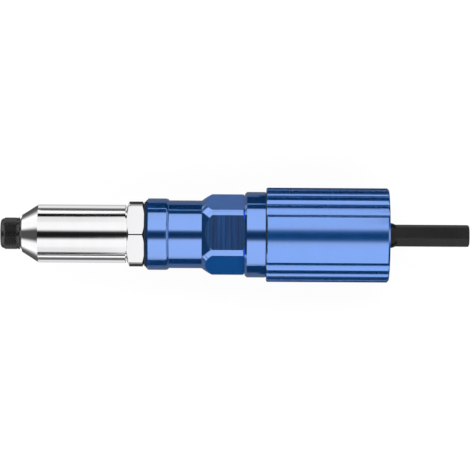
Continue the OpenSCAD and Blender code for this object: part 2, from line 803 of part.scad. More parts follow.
// The bore of the closed jaws, with a ring of teeth along it
module jaw_bore() {
    pitch = jaw_l / jaw_teeth;
    turned(concat(
        [[0, jaw_closed_x - over], [jaw_bore_d / 2, jaw_closed_x - over]],
        [for (i = [0:jaw_teeth - 1], j = [0, 1])
            [jaw_bore_d / 2 + j * jaw_tooth_h, jaw_closed_x + (i + j * 0.8) * pitch]],
        [[jaw_bore_d / 2, jaw_closed_x + jaw_l], [jaw_bore_d / 2, jaw_closed_x + jaw_l + over],
         [0, jaw_closed_x + jaw_l + over]]));
}

// One jaw above the axis. It is a third of a cone that fits the case when closed,
// drawn open, with its rear face cut to the pusher's cone as it stands when open.
module jaw() {
    rear_r = case_lip_d / 2 + jaw_l * tan(jaw_angle);
    difference() {
        translate([jaw_dx, 0, jaw_dr])
            difference() {
                turned([[0, jaw_closed_x],
                    [case_lip_d / 2 - jaw_skin, jaw_closed_x],
                    [rear_r - jaw_skin, jaw_closed_x + jaw_l],
                    [0, jaw_closed_x + jaw_l]]);
                for (side = [-1, 1])
                    rotate([side * 60, 0, 0])
                        translate([jaw_closed_x - over, side > 0 ? -2 * rear_r : -jaw_gap / 2, -rear_r])
                            cube([jaw_l + 2 * over, 2 * rear_r + jaw_gap / 2, 2 * rear_r + jaw_l]);
                jaw_bore();
            }
        turned([[0, pusher_tip_x - face_gap - pusher_bore_d / 2 / tan(pusher_angle)],
            [jaw_rear_r + over, jaw_rear_x + over / tan(pusher_angle)],
            [jaw_rear_r + over, jaw_rear_x + jaw_l],
            [0, jaw_rear_x + jaw_l]]);
    }
}

module jaw_at(i) {
    color([0.45, 0.46, 0.48])
        rotate([i * 120, 0, 0])
            jaw();
}

nosepiece();
head();
front_gasket();
front_body();
rear_gasket();
grip_sleeve();
rear_bush();
back_washer();
shank_seal();
buffer_ring();
guide_keys();
fixed_washer();
spindle();
turning_washer();
bearing_cage();
bearing_balls();
carriage();
lock_nut();
jaw_case();
jaw_pusher();
pusher_spring();
jaw_at(0);  // jaw_1
jaw_at(1);  // jaw_2
jaw_at(2);  // jaw_3
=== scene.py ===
"""Looks of a drill powered blind rivet head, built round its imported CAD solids."""
import math

import bpy
from bpy.props import FloatProperty, FloatVectorProperty, IntProperty, PointerProperty
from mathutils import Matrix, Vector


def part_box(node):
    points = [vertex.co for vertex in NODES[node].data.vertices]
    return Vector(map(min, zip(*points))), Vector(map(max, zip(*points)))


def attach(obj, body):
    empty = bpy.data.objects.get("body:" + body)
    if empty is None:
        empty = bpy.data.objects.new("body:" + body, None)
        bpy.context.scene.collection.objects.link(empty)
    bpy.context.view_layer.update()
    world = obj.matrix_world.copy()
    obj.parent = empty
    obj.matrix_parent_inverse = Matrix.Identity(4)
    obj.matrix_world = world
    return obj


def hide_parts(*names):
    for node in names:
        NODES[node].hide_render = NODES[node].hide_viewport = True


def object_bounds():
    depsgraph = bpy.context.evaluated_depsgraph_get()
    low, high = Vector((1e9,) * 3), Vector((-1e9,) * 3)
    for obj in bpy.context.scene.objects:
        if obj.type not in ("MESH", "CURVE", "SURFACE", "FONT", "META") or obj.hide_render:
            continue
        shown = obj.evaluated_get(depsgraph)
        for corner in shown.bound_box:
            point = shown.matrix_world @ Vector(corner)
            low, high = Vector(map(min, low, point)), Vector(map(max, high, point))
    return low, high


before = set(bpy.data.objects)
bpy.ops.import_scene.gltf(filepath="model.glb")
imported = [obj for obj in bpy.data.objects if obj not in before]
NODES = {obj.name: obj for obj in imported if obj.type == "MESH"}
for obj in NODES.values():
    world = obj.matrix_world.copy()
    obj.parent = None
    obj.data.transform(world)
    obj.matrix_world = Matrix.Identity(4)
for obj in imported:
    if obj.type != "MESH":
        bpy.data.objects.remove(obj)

bl_info = {
    "name": "Drill powered rivet head",
    "version": (1, 0, 0),
    "blender": (4, 5, 0),
    "location": "3D View > Sidebar > Rivet head",
    "description": "Knurled nosepiece, finishes and photo studio for the rivet head",
    "category": "Object",
}

MM = 0.001
CAD_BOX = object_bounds()
AXIS = (1.0, 0.0, 0.0)
FULL_TURN = 2 * math.pi
RIGHT_ANGLE = math.pi / 2
HALF_SIDE = math.pi / 6  # half the turn from one flat of the hexagon to the next
SAME_PLACE = 1e-6
SAME_STATION = 1e-5


def node_radius(node):
    """Largest distance of a CAD node's surface from the tool's axis."""
    low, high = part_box(node)
    return max(high.y, -low.y, high.z, -low.z)


NOSE_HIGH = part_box("nosepiece")[1]
NOSE_R = node_radius("nosepiece")
BODY_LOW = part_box("front_body")[0]
SLEEVE_LOW, SLEEVE_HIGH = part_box("grip_sleeve")


# Sizes and colours

class NosepieceSizes(bpy.types.PropertyGroup):
    """Sizes of the knurled nosepiece."""
    head_length: FloatProperty(
        name="Head length", description="Length of the knurled head",
        default=6.2 * MM, unit="LENGTH")
    front_round: FloatProperty(
        name="Front round", description="Length of the rounded front edge",
        default=1.1 * MM, unit="LENGTH")
    knurl_around: IntProperty(
        name="Knurl diamonds around", description="Diamonds round the head",
        default=32, min=12, max=80)
    knurl_along: IntProperty(
        name="Knurl rows", description="Rows of diamonds along the head",
        default=5, min=2, max=20)
    knurl_depth: FloatProperty(
        name="Knurl depth", description="Height of a diamond above its groove",
        default=0.34 * MM, unit="LENGTH")
    smooth_ring: FloatProperty(
        name="Smooth ring", description="Length of the plain ring behind the knurl",
        default=0.7 * MM, unit="LENGTH")
    bore: FloatProperty(
        name="Mandrel bore", description="Radius of the bore",
        default=1.55 * MM, unit="LENGTH")
    thread_radius: FloatProperty(
        name="Thread radius", description="Outer radius of the shank's thread",
        default=4.0 * MM, unit="LENGTH")
    thread_depth: FloatProperty(
        name="Thread depth", description="Height of the thread above its root",
        default=0.55 * MM, unit="LENGTH")
    thread_pitch: FloatProperty(
        name="Thread pitch", description="Advance of the thread in one turn",
        default=1.25 * MM, unit="LENGTH")
    thread_end: FloatProperty(
        name="Thread end", description="Where the threaded shank ends",
        default=12.98 * MM, unit="LENGTH")
    tail_radius: FloatProperty(
        name="Tail radius", description="Radius of the tail that opens the jaws",
        default=2.6 * MM, unit="LENGTH")


class FinishColours(bpy.types.PropertyGroup):
    """Colours of the finishes, as linear values."""
    chrome: FloatVectorProperty(
        name="Chrome", description="Plated head", subtype="COLOR",
        default=(0.965, 0.965, 0.975), min=0, max=1)
    blue: FloatVectorProperty(
        name="Blue anodising", description="Front body and grip sleeve", subtype="COLOR",
        default=(0.015, 0.25, 0.93), min=0, max=1)
    black: FloatVectorProperty(
        name="Black oxide", description="Nosepiece and drive shank", subtype="COLOR",
        default=(0.0085, 0.0082, 0.0078), min=0, max=1)
    steel: FloatVectorProperty(
        name="Turned steel", description="Carriage, case and keys", subtype="COLOR",
        default=(0.56, 0.57, 0.58), min=0, max=1)
    rubber: FloatVectorProperty(
        name="Rubber", description="Gaskets and seal", subtype="COLOR",
        default=(0.025, 0.025, 0.027), min=0, max=1)
    worn_and_highlit_blue: FloatVectorProperty(
        name="Worn and highlit blue", description="Edges rubbed thin and lightened as a painted highlight", subtype="COLOR",
        default=(0.2, 0.45, 0.9), min=0, max=1)
    hard_steel: FloatVectorProperty(
        name="Hardened steel", description="Jaws", subtype="COLOR",
        default=(0.3, 0.3, 0.33), min=0, max=1)
    ground_steel: FloatVectorProperty(
        name="Ground steel", description="Bearing washers and balls", subtype="COLOR",
        default=(0.7, 0.71, 0.73), min=0, max=1)
    spring_steel: FloatVectorProperty(
        name="Spring steel", description="Pusher's spring", subtype="COLOR",
        default=(0.5, 0.5, 0.52), min=0, max=1)
    bronze: FloatVectorProperty(
        name="Bronze", description="Rear bush and back washer", subtype="COLOR",
        default=(0.62, 0.4, 0.2), min=0, max=1)
    brass: FloatVectorProperty(
        name="Brass", description="Bearing cage", subtype="COLOR",
        default=(0.78, 0.58, 0.24), min=0, max=1)
    plastic: FloatVectorProperty(
        name="Plastic", description="Buffer ring", subtype="COLOR",
        default=(0.6, 0.2, 0.05), min=0, max=1)


class FinishSizes(bpy.types.PropertyGroup):
    """Where the finishes change on the CAD solids."""
    flat_height: FloatProperty(
        name="Flat height", description="Distance of the body's flats from the axis",
        default=11.658 * MM, unit="LENGTH")
    flat_turn: FloatProperty(
        name="Flat turn", description="Turn of the body's flats about the axis",
        default=math.radians(-3.0), subtype="ANGLE")


class StudioSettings(bpy.types.PropertyGroup):
    """The camera and the studio round the tool."""
    camera_distance: FloatProperty(
        name="Camera distance", description="From the tool's axis to the camera",
        default=1.022, unit="LENGTH")
    view_width: FloatProperty(
        name="View width", description="Width that the picture covers at the axis",
        default=150.64 * MM, unit="LENGTH")
    view_centre_y: FloatProperty(
        name="View centre", description="Place of the picture's middle across the axis",
        default=-0.13 * MM, unit="LENGTH")
    roll: FloatProperty(
        name="Camera roll", description="Turn of the camera about its line of sight",
        default=math.radians(0.35), subtype="ANGLE")
    floor_gap: FloatProperty(
        name="Floor gap", description="Gap between the tool and the floor",
        default=0.05 * MM, unit="LENGTH")


# Modelling helpers

def only(*objects):
    """Leaves just these objects selected, the first of them active."""
    if bpy.context.object and bpy.context.object.mode != "OBJECT":
        bpy.ops.object.mode_set(mode="OBJECT")
    bpy.ops.object.select_all(action="DESELECT")
    for o in objects:
        o.select_set(True)
    bpy.context.view_layer.objects.active = objects[0]


def select_where(o, kind, test):
    """In edit mode, selects the vertices, edges or faces that pass the test and no others."""
    bpy.ops.mesh.select_mode(type=kind)
    bpy.ops.mesh.select_all(action="DESELECT")
    bpy.ops.object.mode_set(mode="OBJECT")
    mesh = o.data
    items = {"VERT": mesh.vertices, "EDGE": mesh.edges, "FACE": mesh.polygons}[kind]
    for item in items:
        item.select = test(mesh, item)
    bpy.ops.object.mode_set(mode="EDIT")


def outline(name, points):
    """A line of edges through points of (station, radius), drawn in the plane above the axis."""
    first = points[0]
    bpy.ops.mesh.primitive_plane_add(size=MM, location=(first[0], 0, first[1]))
    o = bpy.context.object
    o.name = o.data.name = name
    bpy.ops.object.mode_set(mode="EDIT")
    bpy.ops.mesh.select_mode(type="VERT")
    bpy.ops.mesh.select_all(action="SELECT")
    bpy.ops.mesh.merge(type="CENTER")
    for a, b in zip(points, points[1:]):
        bpy.ops.mesh.extrude_region_move(
            TRANSFORM_OT_translate={"value": (b[0] - a[0], 0, b[1] - a[1])})
    bpy.ops.object.mode_set(mode="OBJECT")
    bpy.ops.object.transform_apply(location=True, rotation=True, scale=True)
    return o


def spin_round(o, steps):
    """Spins the outline round the tool's axis into a closed skin."""
    only(o)
    bpy.ops.object.mode_set(mode="EDIT")
    bpy.ops.mesh.select_mode(type="VERT")
    bpy.ops.mesh.select_all(action="SELECT")
    bpy.ops.mesh.spin(steps=steps, angle=FULL_TURN, center=(0, 0, 0), axis=AXIS)
    bpy.ops.mesh.select_all(action="SELECT")
    bpy.ops.mesh.remove_doubles(threshold=SAME_PLACE)
    bpy.ops.mesh.normals_make_consistent(inside=False)
    bpy.ops.object.mode_set(mode="OBJECT")


def join(name, *objects):
    """Joins objects into the first one."""
    only(*objects)
    bpy.ops.object.join()
    o = bpy.context.object
    o.name = o.data.name = name
    return o


def smooth(o, angle):
    """Smooth shading, with edges sharper than the angle in degrees left crisp."""
    only(o)
    bpy.ops.object.shade_smooth_by_angle(angle=math.radians(angle))


def settle(o, body, slot, *nodes):
    """Puts a finished piece in the frame: its body and the nodes it stands for; the slot argument
    is not used.
    """
    only(o)
    bpy.ops.object.transform_apply(location=True, rotation=True, scale=True)
    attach(o, body)
    if nodes:
        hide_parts(*nodes)


# Material helpers

class Nodes:
    """Adds nodes to a tree, and links or sets their inputs in one call."""

    def __init__(self, tree):
        self.tree = tree
        tree.nodes.clear()

    def plug(self, socket, value):
        """Links a value that comes from another socket, and sets a plain one."""
        if isinstance(value, bpy.types.NodeSocket):
            self.tree.links.new(value, socket)
        else:
            socket.default_value = value

    def add(self, kind, inputs=None, **settings):
        """A node with its settings and with its inputs, by name or number."""
        node = self.tree.nodes.new(kind)
        for key, value in settings.items():
            setattr(node, key, value)
        for key, value in (inputs or {}).items():
            self.plug(node.inputs[key], value)
        return node

    def math(self, operation, *values):
        """The result of a sum."""
        return self.add("ShaderNodeMath", dict(enumerate(values)), operation=operation).outputs[0]

    def ramp(self, factor, stops):
        """A tone or colour that runs through stops of (place, value)."""
        node = self.add("ShaderNodeValToRGB", {"Fac": factor})
        elements = node.color_ramp.elements
        while len(elements) > 1:
            elements.remove(elements[-1])
        for i, (place, value) in enumerate(stops):
            stop = elements[0] if i == 0 else elements.new(place)
            stop.position = place
            stop.color = (value, value, value, 1)
        return node.outputs["Color"]

    def mix(self, factor, a, b, blend="MIX"):
        """Two colours mixed."""
        node = self.add("ShaderNodeMix", {0: factor, 6: a, 7: b},
                        data_type="RGBA", blend_type=blend)
        return node.outputs[2]


def colour(values, share=1.0):
    """A colour with its alpha, made darker or lighter by a share."""
    return (*(min(1.0, v * share) for v in tuple(values)[:3]), 1.0)


def new_group(name, ins, outs):
    """An empty shader node group with named inputs and outputs."""
    tree = bpy.data.node_groups.new(name, "ShaderNodeTree")
    for label, kind, default in ins:
        socket = tree.interface.new_socket(label, in_out="INPUT", socket_type=kind)
        socket.default_value = default
    for label, kind in outs:
        tree.interface.new_socket(label, in_out="OUTPUT", socket_type=kind)
    return tree


def lathe_marks_group():
    """Fine lines that a tool leaves across the axis, and a slow change of tone along it."""
    tree = new_group(
        "Lathe marks",
        [("Lines per mm", "NodeSocketFloat", 6.0), ("Waviness", "NodeSocketFloat", 0.12)],
        [("Height", "NodeSocketFloat"), ("Tone", "NodeSocketFloat")])
    n = Nodes(tree)
    ins = n.add("NodeGroupInput")
    place = n.add("ShaderNodeTexCoord").outputs["Object"]
    x, y, z = n.add("ShaderNodeSeparateXYZ", {0: place}).outputs
    along = n.math("MULTIPLY", x, n.math("MULTIPLY", ins.outputs["Lines per mm"], 1000.0))
    drift = n.math("MULTIPLY", ins.outputs["Waviness"], 1000.0)
    spot = n.add("ShaderNodeCombineXYZ", {
        0: along, 1: n.math("MULTIPLY", y, drift), 2: n.math("MULTIPLY", z, drift)})
    fine = n.add("ShaderNodeTexNoise", {"Vector": spot.outputs[0], "Scale": 1.0, "Detail": 2.0})
    slow_place = n.add("ShaderNodeVectorMath", {0: place, 1: (320.0, 90.0, 90.0)},
                       operation="MULTIPLY")
    slow = n.add("ShaderNodeTexNoise", {
        "Vector": slow_place.outputs[0], "Scale": 1.0, "Detail": 3.0})
    n.add("NodeGroupOutput", {"Height": fine.outputs["Fac"], "Tone": slow.outputs["Fac"]})
    return tree


def handling_group():
    """Smudges and thin scratches from use."""
    tree = new_group(
        "Handling marks",
        [("Scale", "NodeSocketFloat", 1.0)],
        [("Smudge", "NodeSocketFloat"), ("Scratch", "NodeSocketFloat")])
    n = Nodes(tree)
    ins = n.add("NodeGroupInput")
    place = n.add("ShaderNodeTexCoord").outputs["Object"]
    size = n.math("MULTIPLY", ins.outputs["Scale"], 110.0)
    smudge = n.add("ShaderNodeTexNoise", {
        "Vector": place, "Scale": size, "Detail": 4.0, "Roughness": 0.6})
    turned = n.add("ShaderNodeMapping", {
        "Vector": place, "Rotation": (0.4, 0.3, 0.9), "Scale": (900.0, 60.0, 60.0)})
    streak = n.add("ShaderNodeTexNoise", {"Vector": turned.outputs[0], "Scale": 1.0, "Detail": 1.0})
    narrowness, softness = 22.0, 0.1
    off_line = n.math("ABSOLUTE", n.math("SUBTRACT", streak.outputs["Fac"], 0.5))
    thin = n.math("SMOOTH_MIN", n.math("MULTIPLY", off_line, narrowness), 1.0, softness)
    patch = n.ramp(smudge.outputs["Fac"], [(0.52, 0.0), (0.66, 1.0)])
    scratch = n.math("MULTIPLY", n.math("SUBTRACT", 1.0, thin), patch)
    n.add("NodeGroupOutput", {"Smudge": smudge.outputs["Fac"], "Scratch": scratch})
    return tree


def edge_wear_and_highlight_group():
    """A lighter line round the axis at one station, broken up by noise: partly wear, partly a
    painted highlight on the edge.
    """
    tree = new_group(
        "Edge wear and highlight",
        [("Station mm", "NodeSocketFloat", 0.0), ("Width mm", "NodeSocketFloat", 0.3)],
        [("Wear and highlight", "NodeSocketFloat")])
    n = Nodes(tree)
    ins = n.add("NodeGroupInput")
    place = n.add("ShaderNodeTexCoord").outputs["Object"]
    x = n.add("ShaderNodeSeparateXYZ", {0: place}).outputs[0]
    x_mm = n.math("MULTIPLY", x, 1000.0)
    away = n.math("ABSOLUTE", n.math("SUBTRACT", x_mm, ins.outputs["Station mm"]))
    near = n.math("SUBTRACT", 1.0, n.math("DIVIDE", away, ins.outputs["Width mm"]))
    noise = n.add("ShaderNodeTexNoise", {"Vector": place, "Scale": 900.0, "Detail": 3.0})
    broken = n.math("SUBTRACT", noise.outputs["Fac"], 0.35)
    worn_and_lit = n.math("MULTIPLY", n.math("MAXIMUM", near, 0.0), n.math("MULTIPLY", broken, 3.0))
    worn_lit_edges = n.add("ShaderNodeClamp", {"Value": worn_and_lit})
    n.add("NodeGroupOutput", {"Wear and highlight": worn_lit_edges.outputs[0]})
    return tree


def milled_flats_group():
    """The hexagon's six flats: where they lie, the cutter's lines, and painted shade on the flat
    that faces up, broken into streaks.
    """
    tree = new_group(
        "Milled flats",
        [("Height mm", "NodeSocketFloat", 11.66), ("Turn", "NodeSocketFloat", 0.0)],
        [("Mask", "NodeSocketFloat"), ("Painted shade", "NodeSocketFloat"), ("Lines", "NodeSocketFloat")])
    n = Nodes(tree)
    ins = n.add("NodeGroupInput")
    place = n.add("ShaderNodeTexCoord").outputs["Object"]
    x, y, z = n.add("ShaderNodeSeparateXYZ", {0: place}).outputs
    angle = n.math("ARCTAN2", n.math("MULTIPLY", y, -1.0), z)
    side = n.math("WRAP", n.math("SUBTRACT", angle, ins.outputs["Turn"]), HALF_SIDE, -HALF_SIDE)
    radius = n.math("SQRT", n.math("ADD", n.math("MULTIPLY", y, y), n.math("MULTIPLY", z, z)))
    height = n.math("MULTIPLY", n.math("MULTIPLY", radius, 1000.0), n.math("COSINE", side))
    tolerance_mm, fine_lines, wide_lines = 0.03, (3600.0, 50.0, 50.0), (3000.0, 40.0, 40.0)
    mask = n.math("COMPARE", height, ins.outputs["Height mm"], tolerance_mm)
    spot = n.add("ShaderNodeVectorMath", {0: place, 1: fine_lines}, operation="MULTIPLY")
    fine = n.add("ShaderNodeTexNoise", {"Vector": spot.outputs[0], "Scale": 1.0, "Detail": 2.0})
    wide = n.add("ShaderNodeVectorMath", {0: place, 1: wide_lines}, operation="MULTIPLY")
    streak = n.add("ShaderNodeTexNoise", {"Vector": wide.outputs[0], "Scale": 1.0, "Detail": 2.0})
    # The flat that faces up, which gets painted shade
    top_flat = n.math("MULTIPLY", mask, n.math("COMPARE", angle, ins.outputs["Turn"], HALF_SIDE))
    patchy = n.ramp(streak.outputs["Fac"], [(0.35, 0.35), (0.65, 1.0)])
    n.add("NodeGroupOutput", {
        "Mask": mask, "Painted shade": n.math("MULTIPLY", top_flat, patchy),
        "Lines": n.math("MULTIPLY", mask, fine.outputs["Fac"])})
    return tree


GROUP_MAKERS = {"lathe": lathe_marks_group, "handling": handling_group,
                "worn_lit_edges": edge_wear_and_highlight_group, "milled": milled_flats_group}
GROUPS = {}


def shared_group(name):
    """One of the shared groups, made when it is first asked for."""
    if name not in GROUPS:
        GROUPS[name] = GROUP_MAKERS[name]()
    return GROUPS[name]


MILLED_DEPTH = 0.006 * MM  # depth of the cutter's lines on the flats
PAINTED_SHADE_SHARE = 0.4         # how dark the painted shade makes the flat that faces up, beside the rest
FLAT_METAL_DROP = 0.16     # how much less metallic the flats are


def metal(name, base, worn_and_lit=None, rough=0.25, rough_swing=0.08, metallic=1.0, lines=6.0,
          line_depth=0.006, tone_swing=0.12, coat=0.0, coat_rough=0.05, coat_ior=1.5,
          specular=0.5, worn_lit_edges=(), worn_lit_rough=0.3, milled=None):
    """A machined metal: turning lines, a slow change of tone, smudges, scratches, and worn edges
    lightened partly as painted highlight.

    Line depth is in mm. Worn lit edges gives (station, width) in mm of each edge that turns the
    lighter worn colour, partly wear and partly a painted highlight. Milled gives the flats' height
    and turn: there the lines are deeper, the metal is less metallic, and the flat that faces up
    gets painted shade."""
    material = bpy.data.materials.new(name)
    material.use_nodes = True
    n = Nodes(material.node_tree)
    lathe = n.add("ShaderNodeGroup", node_tree=shared_group("lathe"))
    lathe.inputs["Lines per mm"].default_value = lines
    marks = n.add("ShaderNodeGroup", node_tree=shared_group("handling"))
    tone_part = n.math("MULTIPLY", lathe.outputs["Tone"], tone_swing)
    tone = n.math("ADD", 1.0 - tone_swing / 2, tone_part)
    shade = n.add("ShaderNodeVectorMath", {0: tuple(base)[:3], "Scale": tone},
                  operation="SCALE").outputs[0]
    swing = n.math("SUBTRACT", marks.outputs["Smudge"], 0.5)
    grain = n.math("SUBTRACT", lathe.outputs["Height"], 0.5)
    roughness = n.math("ADD", rough, n.math("MULTIPLY", swing, rough_swing * 2))
    for part in (grain, marks.outputs["Scratch"]):
        roughness = n.math("ADD", roughness, n.math("MULTIPLY", part, rough_swing))
    height = n.math("MULTIPLY", lathe.outputs["Height"], line_depth * MM)
    if milled:
        flat = n.add("ShaderNodeGroup", {"Height mm": milled[0], "Turn": milled[1]},
                     node_tree=shared_group("milled"))
        mill_lines = n.math("MULTIPLY", flat.outputs["Lines"], MILLED_DEPTH)
        height = n.math("ADD", height, mill_lines)
        # Painted shade: the flat that faces up is darkened in streaks towards a darker copy of the
        # base colour
        shade = n.mix(flat.outputs["Painted shade"], shade, colour(base, PAINTED_SHADE_SHARE))
        metal_drop = n.math("MULTIPLY", flat.outputs["Mask"], FLAT_METAL_DROP)
        metallic = n.math("SUBTRACT", metallic, metal_drop)
    if worn_and_lit:
        mask = None
        for station, width in worn_lit_edges:
            place = n.add("ShaderNodeGroup", {"Station mm": station, "Width mm": width},
                          node_tree=shared_group("worn_lit_edges"))
            edge = place.outputs[0]
            mask = edge if mask is None else n.math("MAXIMUM", mask, edge)
        # Worn edges turn a lighter blue: partly wear, partly a painted highlight standing in for
        # the edges' glint
        shade = n.mix(mask, shade, colour(worn_and_lit))
        roughness = n.math("ADD", roughness, n.math("MULTIPLY", mask, worn_lit_rough - rough))
    bump = n.add("ShaderNodeBump", {"Height": height, "Strength": 1.0, "Distance": 1.0})
    surface = n.add("ShaderNodeBsdfPrincipled", {
        "Base Color": shade, "Roughness": roughness, "Metallic": metallic, "Coat Weight": coat,
        "Coat Roughness": coat_rough, "Coat IOR": coat_ior, "Specular IOR Level": specular,
        "Normal": bump.outputs[0]})
    n.add("ShaderNodeOutputMaterial", {"Surface": surface.outputs[0]})
    return material


def soft_solid(name, base, rough=0.6, grain=1400.0, depth=0.02):
    """Rubber or plastic: a fine moulded grain, its depth in mm, and a slightly uneven sheen."""
    material = bpy.data.materials.new(name)
    material.use_nodes = True
    n = Nodes(material.node_tree)
    place = n.add("ShaderNodeTexCoord").outputs["Object"]
    fine = n.add("ShaderNodeTexNoise", {"Vector": place, "Scale": grain, "Detail": 2.0})
    slow = n.add("ShaderNodeTexNoise", {"Vector": place, "Scale": 160.0, "Detail": 2.0})
    shade = n.mix(slow.outputs["Fac"], colour(base, 0.8), colour(base, 1.25))
    height = n.math("MULTIPLY", fine.outputs["Fac"], depth * MM)
    bump = n.add("ShaderNodeBump", {"Height": height, "Distance": 1.0})
    sheen_swing = 0.2
    sheen = n.math("MULTIPLY", slow.outputs["Fac"], sheen_swing)
    surface = n.add("ShaderNodeBsdfPrincipled", {
        "Base Color": shade, "Roughness": n.math("ADD", rough - sheen_swing / 2, sheen),
        "Normal": bump.outputs[0]})
    n.add("ShaderNodeOutputMaterial", {"Surface": surface.outputs[0]})
    return material


def give(material, *names):
    """Gives a material to CAD nodes."""
    for name in names:
        data = NODES[name].data
        data.materials.clear()
        data.materials.append(material)


# The nosepiece

SMOOTH_ANGLE = 25          # degrees
RING_DROP = 0.04 * MM      # how far the smooth ring lies below the knurl's crests
RING_RISE_L = 0.12 * MM    # length of the slope from the knurl's root to the smooth ring
RING_BEVEL_L = 0.15 * MM
RING_BEVEL_DROP = 0.2 * MM
THREAD_BEVEL = 0.3 * MM
THREAD_LEAD = 0.9 * MM     # plain length between the head and the thread's ridge
THREAD_TAIL = 0.7 * MM     # plain length between the ridge and the shank's end
TAIL_STEP_L = 0.4 * MM
TAIL_BEVEL = 0.7 * MM
BORE_BEVEL_L = 0.5 * MM
BORE_BEVEL_H = 0.45 * MM
FRONT_EDGE = ((0.0, 0.85), (0.15, 0.52), (0.45, 0.22), (0.75, 0.06))  # mm behind and below
RIM_BAND = 0.2 * MM        # how far below the root the knurl's rims are looked for
RIDGE_SINK = 0.35          # share of the ridge's height that its feet lie below the root
RIDGE_FOOT = 0.46          # half of the ridge's foot, as a share of the pitch
RIDGE_CREST = 0.07         # half of the ridge's crest, as a share of the pitch


def knurled_band(name, low, high, radius, around, along, depth):
    """A band of diamond knurl: poked squares give diamonds, and poked diamonds give pyramids."""
    root = radius - depth
    bpy.ops.mesh.primitive_cylinder_add(
        vertices=around, radius=root, depth=high - low, end_fill_type="NOTHING",
        location=((low + high) / 2, 0, 0), rotation=(0, RIGHT_ANGLE, 0))
    o = bpy.context.object
    o.name = name
    bpy.ops.object.transform_apply(location=True, rotation=True, scale=True)
    bpy.ops.object.mode_set(mode="EDIT")

    def lengthwise(mesh, edge):
        a, b = (mesh.vertices[i].co for i in edge.vertices)
        return abs(a.x - b.x) > SAME_PLACE

    select_where(o, "EDGE", lengthwise)
    bpy.ops.mesh.subdivide(number_cuts=along - 1)
    bpy.ops.object.mode_set(mode="OBJECT")

    def at_rim(i):
        x = o.data.vertices[i].co.x
        return min(abs(x - low), abs(x - high)) < SAME_PLACE

    squares = {tuple(sorted(e.vertices)) for e in o.data.edges}
    rims = {pair for pair in squares if all(at_rim(i) for i in pair)}
    bpy.ops.object.mode_set(mode="EDIT")
    bpy.ops.mesh.select_all(action="SELECT")
    bpy.ops.mesh.poke(offset=0.0)
    select_where(o, "EDGE", lambda mesh, e: tuple(sorted(e.vertices)) in squares - rims)
    bpy.ops.mesh.dissolve_edges(use_verts=False)
    select_where(o, "FACE", lambda mesh, f: len(f.vertices) == 4)
    bpy.ops.mesh.poke(offset=depth)
    bpy.ops.object.mode_set(mode="OBJECT")
    return o


def helix_ridge(name, low, high, root, crest, pitch, steps=40):
    """A thread's ridge wound round the axis, its ends sunk below the root."""
    sunk = root - (crest - root) * RIDGE_SINK
    foot, top = pitch * RIDGE_FOOT, pitch * RIDGE_CREST
    o = outline(name, [(low - foot, sunk), (low - top, crest), (low + top, crest),
                       (low + foot, sunk), (low - foot, sunk)])
    only(o)
    bpy.ops.object.mode_set(mode="EDIT")
    bpy.ops.mesh.select_all(action="SELECT")
    bpy.ops.mesh.remove_doubles(threshold=SAME_PLACE)
    bpy.ops.object.mode_set(mode="OBJECT")
    screw = o.modifiers.new("Thread", "SCREW")
    screw.axis = "X"
    screw.angle = FULL_TURN
    screw.screw_offset = pitch
    screw.iterations = max(1, int((high - low) / pitch))
    screw.steps = screw.render_steps = steps
    bpy.ops.object.modifier_apply(modifier=screw.name)
    bpy.ops.object.mode_set(mode="EDIT")
    bpy.ops.mesh.select_mode(type="EDGE")
    bpy.ops.mesh.select_all(action="DESELECT")
    bpy.ops.mesh.select_non_manifold(
        extend=False, use_wire=False, use_boundary=True, use_multi_face=False,
        use_non_contiguous=False, use_verts=False)
    bpy.ops.mesh.edge_face_add()
    bpy.ops.mesh.select_all(action="SELECT")
    bpy.ops.mesh.normals_make_consistent(inside=False)
    bpy.ops.object.mode_set(mode="OBJECT")
    return o


